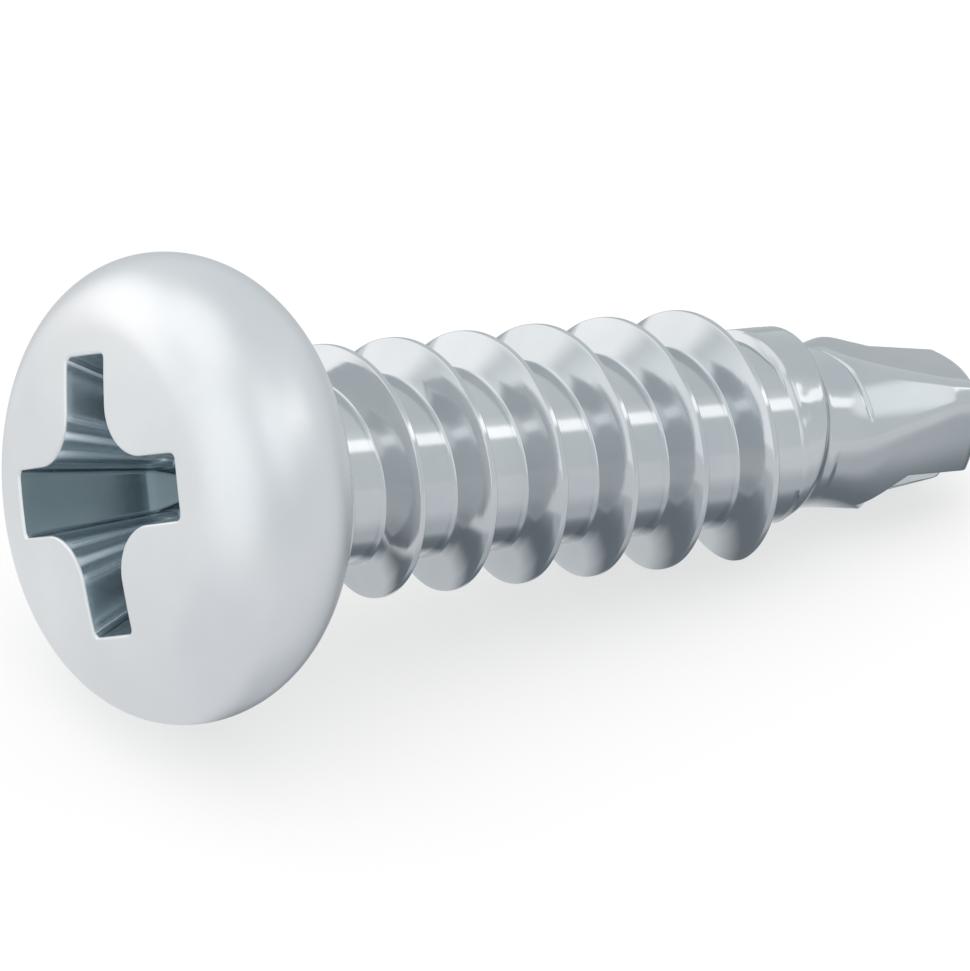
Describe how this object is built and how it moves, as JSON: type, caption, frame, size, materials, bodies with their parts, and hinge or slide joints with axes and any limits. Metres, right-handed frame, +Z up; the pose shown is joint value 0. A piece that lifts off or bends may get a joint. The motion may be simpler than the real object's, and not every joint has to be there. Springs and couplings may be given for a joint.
{
  "type": "self drilling screw",
  "caption": "Pan head self drilling screw with a cross recess, coarse right hand thread and fluted drill point, zinc plated, lying on its side.",
  "frame": {"origin": "on the table under the middle of the screw's box, as the screw lies at rest", "axes": "+X towards the drill point along the table, +Z up; the screw's own axis slopes down by 10.49 degrees towards the drill point, because the wide head lifts that end"},
  "size_m": [0.0174, 0.0076, 0.0077],
  "materials": {
    "zinc_plated_steel": "bright zinc plating, smooth, with a faint blue tint"
  },
  "bodies": {
    "root": {"screw": "zinc_plated_steel"}
  },
  "joints": []
}
